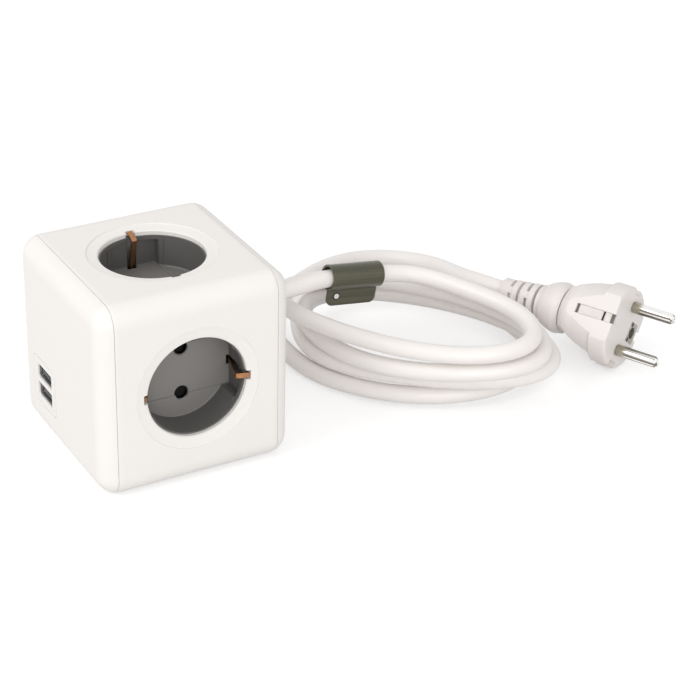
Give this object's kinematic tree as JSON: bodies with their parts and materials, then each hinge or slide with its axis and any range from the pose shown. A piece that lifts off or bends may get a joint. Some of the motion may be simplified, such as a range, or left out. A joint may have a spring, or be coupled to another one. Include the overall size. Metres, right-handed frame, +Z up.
{
  "type": "cube power strip",
  "caption": "Cube-shaped mains extension with recessed earthed round sockets, charger ports on one side and a coiled cord that ends in a round-pin plug.",
  "frame": {"origin": "middle of the cube's underside, on the surface that it stands on", "axes": "+X right along the front face towards the cord, +Y to the back, +Z up"},
  "size_m": [0.2482, 0.1549, 0.078],
  "materials": {
    "housing_white": "fine matt moulded plastic",
    "cup_grey": "fine matt moulded plastic",
    "shutter_grey": "satin moulded plastic",
    "clip_copper": "rolled copper alloy strip, slightly tarnished",
    "contact_brass": "stamped and drawn brass",
    "screw_steel": "zinc plated steel",
    "spring_steel": "drawn spring wire",
    "block_black": "moulded insulating plastic",
    "port_metal": "folded nickel plated sheet",
    "port_plastic": "moulded plastic",
    "board_green": "solder mask on glass laminate",
    "core_dark": "ferrite with tape wound over it",
    "capacitor_can": "sleeved can",
    "cord_white": "smooth flexible jacket",
    "tag_olive": "flexible moulded strip, satin",
    "rivet_white": "moulded rivet",
    "plug_white": "flexible moulded plastic, satin",
    "pin_nickel": "polished nickel plate",
    "wire_brown": "insulated wire",
    "wire_blue": "insulated wire",
    "wire_green_yellow": "insulated wire"
  },
  "bodies": {
    "housing": {"socket_band": "housing_white", "left_cap": "housing_white", "right_cap": "housing_white", "housing_screws": "screw_steel", "shutter_springs": "spring_steel", "contact_block": "block_black", "live_contacts": "contact_brass", "neutral_contacts": "contact_brass", "live_bar": "contact_brass", "neutral_bar": "contact_brass", "earth_links": "clip_copper", "usb_plate": "housing_white", "lower_usb_port": "port_metal", "upper_usb_port": "port_metal", "lower_usb_tongue": "port_plastic", "upper_usb_tongue": "port_plastic", "usb_board": "board_green", "board_screws": "screw_steel", "usb_transformer": "core_dark", "usb_capacitors": "capacitor_can", "cord_gland": "cord_white", "cord_stub": "cord_white", "cord_clamp": "housing_white", "clamp_screws": "screw_steel", "live_wire": "wire_brown", "neutral_wire": "wire_blue", "earth_wire": "wire_green_yellow", "cord_lead": "cord_white", "cord_coil": "cord_white", "cord_tail": "cord_white", "cord_tag": "tag_olive", "tag_rivet": "rivet_white", "plug_body": "plug_white", "plug_relief": "plug_white", "plug_live_pin": "pin_nickel", "plug_neutral_pin": "pin_nickel", "plug_earth_strips": "pin_nickel", "plug_earth_socket": "pin_nickel", "front_cup": "cup_grey", "front_earth_clip": "clip_copper", "top_cup": "cup_grey", "top_earth_clip": "clip_copper", "back_cup": "cup_grey", "back_earth_clip": "clip_copper", "bottom_cup": "cup_grey", "bottom_earth_clip": "clip_copper"},
    "front_shutter": {"front_shutter": "shutter_grey"},
    "top_shutter": {"top_shutter": "shutter_grey"},
    "back_shutter": {"back_shutter": "shutter_grey"},
    "bottom_shutter": {"bottom_shutter": "shutter_grey"}
  },
  "joints": [
    {"name": "front_shutter_turn", "type": "hinge", "parent": "housing", "child": "front_shutter", "pos_m": [0, -0.0204, 0.039], "axis": [0, -1, 0], "range_deg": [0, 36], "stiffness_Nm_per_rad": 0.01, "springref_deg": -17.19},
    {"name": "top_shutter_turn", "type": "hinge", "parent": "housing", "child": "top_shutter", "pos_m": [0, 0, 0.0594], "axis": [0, 0, 1], "range_deg": [0, 36], "stiffness_Nm_per_rad": 0.01, "springref_deg": -17.19},
    {"name": "back_shutter_turn", "type": "hinge", "parent": "housing", "child": "back_shutter", "pos_m": [0, 0.0204, 0.039], "axis": [0, 1, 0], "range_deg": [0, 36], "stiffness_Nm_per_rad": 0.01, "springref_deg": -17.19},
    {"name": "bottom_shutter_turn", "type": "hinge", "parent": "housing", "child": "bottom_shutter", "pos_m": [0, 0, 0.0186], "axis": [0, 0, -1], "range_deg": [0, 36], "stiffness_Nm_per_rad": 0.01, "springref_deg": -17.19}
  ]
}
